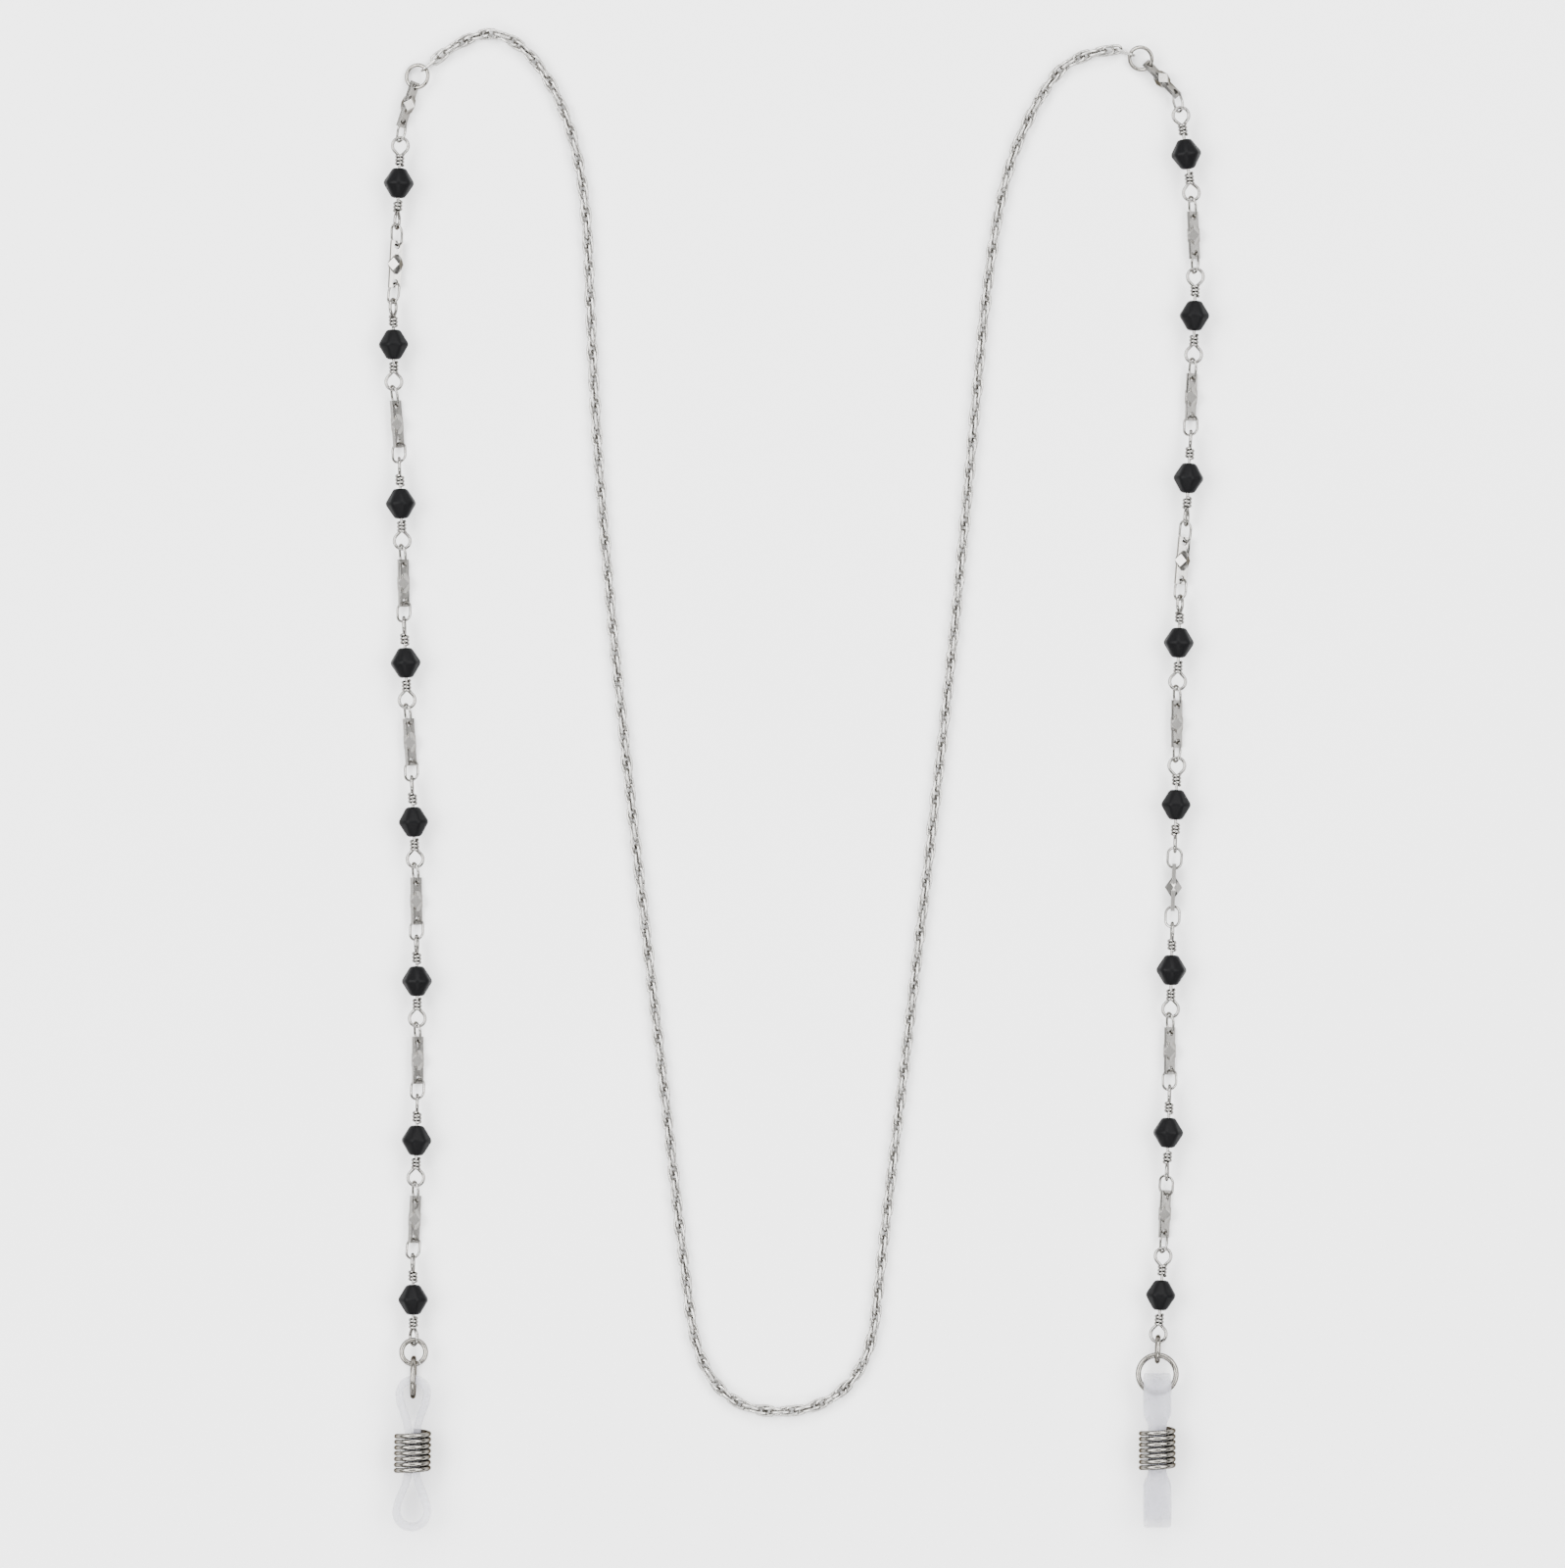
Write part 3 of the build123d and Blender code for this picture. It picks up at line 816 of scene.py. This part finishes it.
@dataclass
class WrappedWire:
    """The wire through a bead: a core, and at each end a loop and a few wraps.

    Attributes:
        wire, sides: the wire's diameter and the faces round it.
        loop: radius of a loop's middle line.
        neck: from a loop's tip to where its ends meet.
        wrap, pitch, turns, lift: radius, pitch and number of the wraps, and their start.
        loop_steps, wrap_steps: faces along a loop and along one wrap.
        shaded: the wire's share outside the wraps' radius where painted shade starts, and where it
            is full.
    """

    wire: float = 0.4
    sides: int = 10
    loop: float = 0.95
    neck: float = 2.3
    wrap: float = 0.37
    pitch: float = 0.42
    turns: int = 3
    lift: float = 0.05
    loop_steps: int = 20
    wrap_steps: int = 14
    shaded: Pair = (0.4, 0.1)

    def end(self, work: Workpiece, tip: float, roll: float, down: bool) -> None:
        """Adds one end of the wire to the piece.

        Args:
            work: the piece.
            tip: how far the loop's tip is from the bead's middle.
            roll: degrees by which the loop is turned.
            down: whether it is the lower end.
        """
        before = set(work.bm.verts)
        way = Vector((math.cos(math.radians(roll)), -math.sin(math.radians(roll)), 0))
        up = Vector((0, 0, 1))
        neck, centre = up * (tip - self.neck), up * (tip - self.loop)
        drop = (centre - neck).length
        touch = self.loop**2 / drop
        side = math.sqrt(self.loop**2 - touch**2)
        right, left = centre - up * touch + way * side, centre - up * touch - way * side
        edges = work.section(self.wire / 2, self.sides, facing(neck, right - neck))
        edges = work.draw(edges, right - neck)
        bend = 360 - 2 * math.degrees(math.acos(touch / self.loop))
        edges = work.wind(edges, centre, way.cross(up), bend, self.loop_steps)
        work.draw(edges, neck - left)
        top = neck + up * (self.lift + self.pitch / 2) + way * self.wrap
        edges = work.section(self.wire / 2, self.sides, facing(top, way.cross(up)))
        looped = set(work.bm.verts) - {vert for edge in edges for vert in edge.verts}
        steps = self.wrap_steps * self.turns
        work.wind(edges, Vector(), up, -360 * self.turns, steps, -self.pitch * self.turns)
        wound = [vert for vert in work.bm.verts if vert not in looped]
        # Painted shade between the wraps and on their inner side.
        work.darken(wound, *(self.wrap + part * self.wire for part in self.shaded))
        if down:
            made = [vert for vert in work.bm.verts if vert not in before]
            bmesh.ops.scale(work.bm, vec=(1, 1, -1), verts=made)

    def build(self, works: Works, side: Side, number: int, length: float, rolls: Pair) -> None:
        """Builds one bead's wire.

        Args:
            works: the frame and the finishes.
            side: its strand.
            number: its place from the rope down.
            length: from tip to tip.
            rolls: degrees of its upper and its lower loop.
        """
        work = Workpiece()
        work.bm.verts.layers.float.new("hollow_shade")
        core = length - 2 * self.neck + self.wire
        bmesh.ops.create_cone(
            work.bm, cap_ends=True, segments=self.sides, radius1=self.wire / 2,
            radius2=self.wire / 2, depth=core,
        )
        self.end(work, length / 2, rolls[0], False)
        self.end(work, length / 2, rolls[1], True)
        work.close()
        middle, upward = works.joint(f"{side.value}_bead_{number}_spin")
        place = chain_frame(middle, upward)
        piece = work.set_down(f"{side.value}_wrapped_wire_{number}", place, crease=50.0)
        works.stand_in(piece, f"{side.value}_bead_wire_{number}", Slot.WIRE)


@dataclass
class Bead:
    """A faceted bead, two blunt eight-sided cones with their edges rubbed round.

    Attributes:
        width, length, end, hole: outer sizes, the end face's width and the hole's.
        facets: faces round it.
        sharp, rubbed: degrees over which an edge is rubbed, and how far its rounding reaches.
        bore: how near the middle an edge belongs to the hole and stays as it is.
        worn: how much paler a rubbed edge is, from 0 to 1.
        twist: degrees by which each bead is turned further than the one above it.
    """

    width: float = 4.0
    length: float = 3.6
    end: float = 1.7
    hole: float = 0.9
    facets: int = 8
    sharp: float = 20.0
    rubbed: float = 0.3
    bore: float = 0.6
    worn: float = 0.9
    twist: float = 17.0

    def build(self, works: Works, side: Side, number: int) -> None:
        """Builds one bead.

        Args:
            works: the frame and the finishes.
            side: its strand.
            number: its place from the rope down.
        """
        work = Workpiece()
        work.bm.verts.layers.float.new("edge")
        for way in (1, -1):
            before = set(work.bm.verts)
            cone = Matrix.Translation((0, 0, self.length / 4))
            bmesh.ops.create_cone(
                work.bm, cap_ends=False, segments=self.facets, radius1=self.width / 2,
                radius2=self.end / 2, depth=self.length / 2, matrix=cone,
            )
            rim = [
                edge for edge in work.bm.edges if edge.is_boundary
                and all(v not in before and v.co.z > self.length / 4 for v in edge.verts)
            ]
            made = bmesh.ops.extrude_edge_only(work.bm, edges=rim)["geom"]
            narrowing = (self.hole / self.end, self.hole / self.end, 1)
            bmesh.ops.scale(work.bm, vec=narrowing, verts=verts_of(made))
            work.draw(work.front(made), Vector((0, 0, -self.length / 2)))
            if way < 0:
                made = [vert for vert in work.bm.verts if vert not in before]
                bmesh.ops.scale(work.bm, vec=(1, 1, -1), verts=made)
        bmesh.ops.remove_doubles(work.bm, verts=work.bm.verts, dist=2 * WELD_MM)
        bmesh.ops.recalc_face_normals(work.bm, faces=work.bm.faces)
        rounding = work.ease(self.sharp, self.rubbed, segments=3, clear=self.bore)
        work.mark("edge", [v for face in rounding for v in face.verts], self.worn)
        middle, upward = works.joint(f"{side.value}_bead_{number}_spin")
        place = chain_frame(middle, upward, self.twist * (number - 1))
        piece = work.set_down(f"{side.value}_faceted_bead_{number}", place, crease=60.0)
        works.stand_in(piece, f"{side.value}_bead_{number}", Slot.BEAD)


@dataclass
class TempleLoop:
    """The elastic loop, pinched to a figure of eight by the spring-wire grip that slides on it.

    Attributes:
        width, thick: of the elastic strip.
        upper, lower: outer radius of the eye at each end.
        length: from end to end.
        pinch, let_go: from the top to where the strips meet and to where they part.
        slit: half the gap between the strips where they meet.
        squeezed, shoulder: its width's share inside the grip, and how far off it is whole again.
        corner, bend: radius of the strip's corners, and how far a handle reaches for a round bend.
        grip_foot: from the top to the middle of the grip's last wire.
        grip, wire, pitch, turns: the grip's outer width, wire, pitch and number of turns.
        sides, turn_steps: faces round the grip's wire and along one of its turns.
        shaded: the wire's share outside the turns' radius where painted shade starts, and where it
            is full.
    """

    width: float = 3.3
    thick: float = 0.9
    upper: float = 2.1
    lower: float = 2.3
    length: float = 18.6
    pinch: float = 6.4
    let_go: float = 11.9
    slit: float = 0.04
    squeezed: float = 0.66
    shoulder: float = 1.6
    corner: float = 0.3
    bend: float = 0.55
    grip_foot: float = 11.55
    grip: float = 4.5
    wire: float = 0.62
    pitch: float = 0.685
    turns: int = 7
    sides: int = 10
    turn_steps: int = 24
    shaded: Pair = (0.38, 0.1)

    def stops(self) -> list[tuple[Pair, Pair, Pair]]:
        """The strip's closed line, down its right side and up its left.

        Returns:
            For each point its X and Z, and where its handle before and after it lie from there.
        """
        half = self.thick / 2
        upper, lower, inner = self.upper - half, self.lower - half, half + self.slit
        up, low = upper * self.bend, lower * self.bend
        right = [
            ((upper, -self.upper), (0, up), (0, -1.5)),
            ((inner, -self.pinch - 0.5), (0, 1.6), (0, -1.2)),
            ((inner, -self.let_go + 0.5), (0, 1.2), (0, -1.7)),
            ((lower, self.lower - self.length), (0, 1.5), (0, -low)),
        ]
        left = [((-x, z), after, before) for (x, z), before, after in reversed(right)]
        top = ((0, -half), (-up, 0), (up, 0))
        foot = ((0, half - self.length), (low, 0), (-low, 0))
        return [top, *right, foot, *left]

    def outline(self) -> bpy.types.Curve:
        """The strip's section, a rectangle with round corners.

        Returns:
            Its curve, in millimetres.
        """
        section = bpy.data.curves.new("strip_section", "CURVE")
        section.dimensions = "2D"
        section.resolution_u = 5
        spline = section.splines.new("BEZIER")
        spline.use_cyclic_u = True
        corners = (
            (1, 1, 0), (1, 1, 1), (-1, 1, 1), (-1, 1, 0),
            (-1, -1, 0), (-1, -1, 1), (1, -1, 1), (1, -1, 0),
        )
        spline.bezier_points.add(len(corners) - 1)
        pull = self.corner * self.bend
        for point, (x, y, along) in zip(spline.bezier_points, corners):
            inset = (self.corner * along, self.corner * (1 - along))
            where = Vector((
                x * (self.width / 2 - inset[0]), y * (self.thick / 2 - inset[1]), 0,
            ))
            handle = where + Vector((x * pull * along, y * pull * (1 - along), 0))
            starts = (along == 0) == (x * y > 0)
            point.co = where
            point.handle_left = where if starts else handle
            point.handle_right = handle if starts else where
        return section

    def strip(self) -> Workpiece:
        """The elastic strip, bent round on itself.

        Returns:
            The piece.
        """
        curve = bpy.data.curves.new("strip_line", "CURVE")
        curve.dimensions = "3D"
        curve.resolution_u = 10
        spline = curve.splines.new("BEZIER")
        spline.use_cyclic_u = True
        stops = self.stops()
        spline.bezier_points.add(len(stops) - 1)
        for point, ((x, z), before, after) in zip(spline.bezier_points, stops):
            point.co = (x, 0, z)
            point.handle_left = (x + before[0], 0, z + before[1])
            point.handle_right = (x + after[0], 0, z + after[1])
        section = self.outline()
        profile = bpy.data.objects.new("strip_section", section)
        curve.bevel_mode = "OBJECT"
        curve.bevel_object = profile
        holder = bpy.data.objects.new("strip_line", curve)
        bpy.context.scene.collection.objects.link(profile)
        bpy.context.scene.collection.objects.link(holder)
        bpy.context.view_layer.update()
        graph = bpy.context.evaluated_depsgraph_get()
        mesh = bpy.data.meshes.new_from_object(holder.evaluated_get(graph))
        work = Workpiece()
        work.bm.from_mesh(mesh)
        for thing in (holder, profile):
            bpy.data.objects.remove(thing)
        bpy.data.meshes.remove(mesh)
        bpy.data.curves.remove(curve)
        bpy.data.curves.remove(section)
        self.squeeze(work)
        return work

    def squeeze(self, work: Workpiece) -> None:
        """Narrows the strip where the grip holds it, and eases that out above and below.

        Args:
            work: the strip.
        """
        middle, reach = -(self.pinch + self.let_go) / 2, (self.let_go - self.pinch) / 2
        for vert in work.bm.verts:
            away = max(0.0, abs(vert.co.z - middle) - reach) / self.shoulder
            held = 1 - away * away * (3 - 2 * away) if away < 1 else 0.0
            vert.co.y *= 1 - (1 - self.squeezed) * held

    def build(self, works: Works, side: Side, roll: float) -> None:
        """Builds one elastic loop and its grip.

        Args:
            works: the frame and the finishes.
            side: its strand.
            roll: degrees by which it is turned about the strand.
        """
        low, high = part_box(f"{side.value}_band")
        _, upward = works.joint(f"{side.value}_coil_slide")
        middle_x = (low[0] + high[0]) / 2 + upward.x * (self.length - self.lower) * MM
        top = Vector((middle_x, high[1], (low[2] + high[2]) / 2))
        place = chain_frame(top, upward, roll)
        band = self.strip().set_down(f"{side.value}_elastic_loop", place, crease=60.0)
        works.stand_in(band, f"{side.value}_band", Slot.ELASTIC)
        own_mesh(band)

        work = Workpiece()
        radius = (self.grip - self.wire) / 2
        start = facing(Vector((radius, 0, 0)), Vector((0, 1, 0)))
        work.bm.verts.layers.float.new("hollow_shade")
        edges = work.section(self.wire / 2, self.sides, start)
        steps, climb = self.turn_steps * self.turns, self.pitch * self.turns
        work.wind(edges, Vector(), Vector((0, 0, 1)), 360 * self.turns, steps, climb)
        # Painted shade between the grip's turns and on their inner side.
        work.darken(list(work.bm.verts), *(radius + part * self.wire for part in self.shaded))
        work.close()
        foot = chain_frame(top - upward * self.grip_foot * MM, upward, -90)
        grip = work.set_down(f"{side.value}_spring_grip", foot, crease=50.0)
        works.stand_in(grip, f"{side.value}_coil", Slot.DARK)


@dataclass
class Strand:
    """One side's strand, from the rope down to its elastic loop.

    Attributes:
        side: which strand it is.
        wire_length: its beads' wires, from tip to tip.
        upper_rolls, lower_rolls: degrees by which each wire's two loops are turned.
        loop_roll: degrees by which the elastic loop is turned.
        units: how many bar links, wires and beads it has.
    """

    side: Side
    wire_length: float
    upper_rolls: tuple[float, ...]
    lower_rolls: tuple[float, ...]
    loop_roll: float
    units: int = 8

    def build(self, works: Works) -> None:
        """Builds and dresses every piece of the strand, from the rope down.

        Args:
            works: the frame and the finishes.
        """
        name = self.side.value
        works.finishing.dress(works.node(f"{name}_top_ring"), Slot.DARK)
        for number in range(1, self.units + 1):
            works.refined(
                f"{name}_bar_link_{number}", f"{name}_cut_bar_{number}", Slot.LINK,
                sharp=25.0, width=0.05,
            )
            rolls = (self.upper_rolls[number - 1], self.lower_rolls[number - 1])
            WrappedWire().build(works, self.side, number, self.wire_length, rolls)
            Bead().build(works, self.side, number)
        for ring in ("small_ring", "large_ring"):
            works.finishing.dress(works.node(f"{name}_{ring}"), Slot.DARK)
            log.info("%s_%s is carried over", name, ring)
        TempleLoop().build(works, self.side, self.loop_roll)


# ---- studio ----
@dataclass(frozen=True)
class SoftBox:
    """A soft area light that looks at the middle of the chain.

    Attributes:
        name: its name.
        place: where it hangs, in metres.
        size: its width and length.
        power: in watts.
    """

    name: str
    place: Triple
    size: Pair
    power: float

    def hang(self, target: Vector) -> None:
        """Hangs the light.

        Args:
            target: the point that it faces.
        """
        light = bpy.data.lights.new(self.name, "AREA")
        light.shape = "RECTANGLE"
        light.size, light.size_y = self.size
        light.energy = self.power
        lamp = bpy.data.objects.new(self.name, light)
        lamp.location = self.place
        lamp.rotation_euler = (target - lamp.location).to_track_quat("-Z", "Y").to_euler()
        bpy.context.scene.collection.objects.link(lamp)


@dataclass
class Studio:
    """A pale table, soft light and a long lens straight above.

    Attributes:
        table: half the table's width, in metres.
        table_colour: of the table.
        sky: brightness of the room.
        lens_height, view, look_at: the camera's height, how much it takes in, and its middle.
        sensor: width of the camera's sensor, in millimetres.
        boxes: the soft lights.
    """

    table: float = 3.0
    table_colour: Colour = (0.93, 0.93, 0.93)
    sky: float = 0.2
    lens_height: float = 1.3
    view: float = 0.1888
    look_at: Pair = (-0.0014, 0.0011)
    sensor: float = 36.0
    boxes: tuple[SoftBox, ...] = (
        SoftBox("zenith_box", (0.0, 0.0, 1.6), (0.5, 0.5), 1.6),
        SoftBox("left_box", (-0.95, 0.2, 1.15), (1.5, 0.9), 56.0),
        SoftBox("right_box", (0.95, 0.1, 1.2), (1.5, 0.9), 46.0),
        SoftBox("back_box", (0.1, 1.2, 1.0), (1.4, 0.5), 32.0),
        SoftBox("front_box", (-0.1, -1.2, 1.0), (1.4, 0.5), 22.0),
    )

    def build(self) -> None:
        """Sets the table, the lights and the camera."""
        work = Workpiece()
        bmesh.ops.create_grid(work.bm, x_segments=1, y_segments=1, size=self.table / MM)
        table = work.set_down("table", Matrix.Identity(4))
        bench = NodeBench("pale_table")
        clouds = bench.between(bench.noise(40.0), (0.3, 0.7), (0.0, 1.0))
        paler = tuple(min(1.0, value * 1.02) for value in self.table_colour)
        bench.feed(bench.tint(clouds, self.table_colour, paler), "Base Color")
        bench.set(Roughness=0.7, Specular_IOR_Level=0.2)
        table.data.materials.append(bench.material)

        world = bpy.data.worlds.new("room")
        world.use_nodes = True
        room = world.node_tree.nodes["Background"]
        room.inputs["Color"].default_value = (1, 1, 1, 1)
        room.inputs["Strength"].default_value = self.sky
        bpy.context.scene.world = world
        middle = Vector((*self.look_at, 0))
        for box in self.boxes:
            box.hang(middle)

        lens = bpy.data.cameras.new("long_lens")
        lens.sensor_width = self.sensor
        lens.lens = self.sensor * self.lens_height / self.view
        lens.clip_start, lens.clip_end = 0.05, 10.0
        camera = bpy.data.objects.new("long_lens", lens)
        camera.location = (*self.look_at, self.lens_height)
        bpy.context.scene.collection.objects.link(camera)
        bpy.context.scene.camera = camera


def main() -> None:
    """Builds the studio and the chain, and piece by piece."""
    logging.basicConfig(level=logging.INFO, format="%(name)s: %(message)s")
    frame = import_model()
    works = Works(frame, Finishing())
    Studio().build()
    RopeChain().build(works)
    Strand(
        Side.LEFT, wire_length=10.9, upper_rolls=(-6, 110, 88, 92, 90, 96, 88, 94),
        lower_rolls=(104, 0, 0, -4, 2, -2, 0, 62), loop_roll=0,
    ).build(works)
    Strand(
        Side.RIGHT, wire_length=11.3, upper_rolls=(-6, 0, 92, 110, 0, 88, 94, -2),
        lower_rolls=(2, 0, 104, 0, 94, -2, 96, 12), loop_roll=-90,
    ).build(works)


if __name__ == "__main__":
    main()
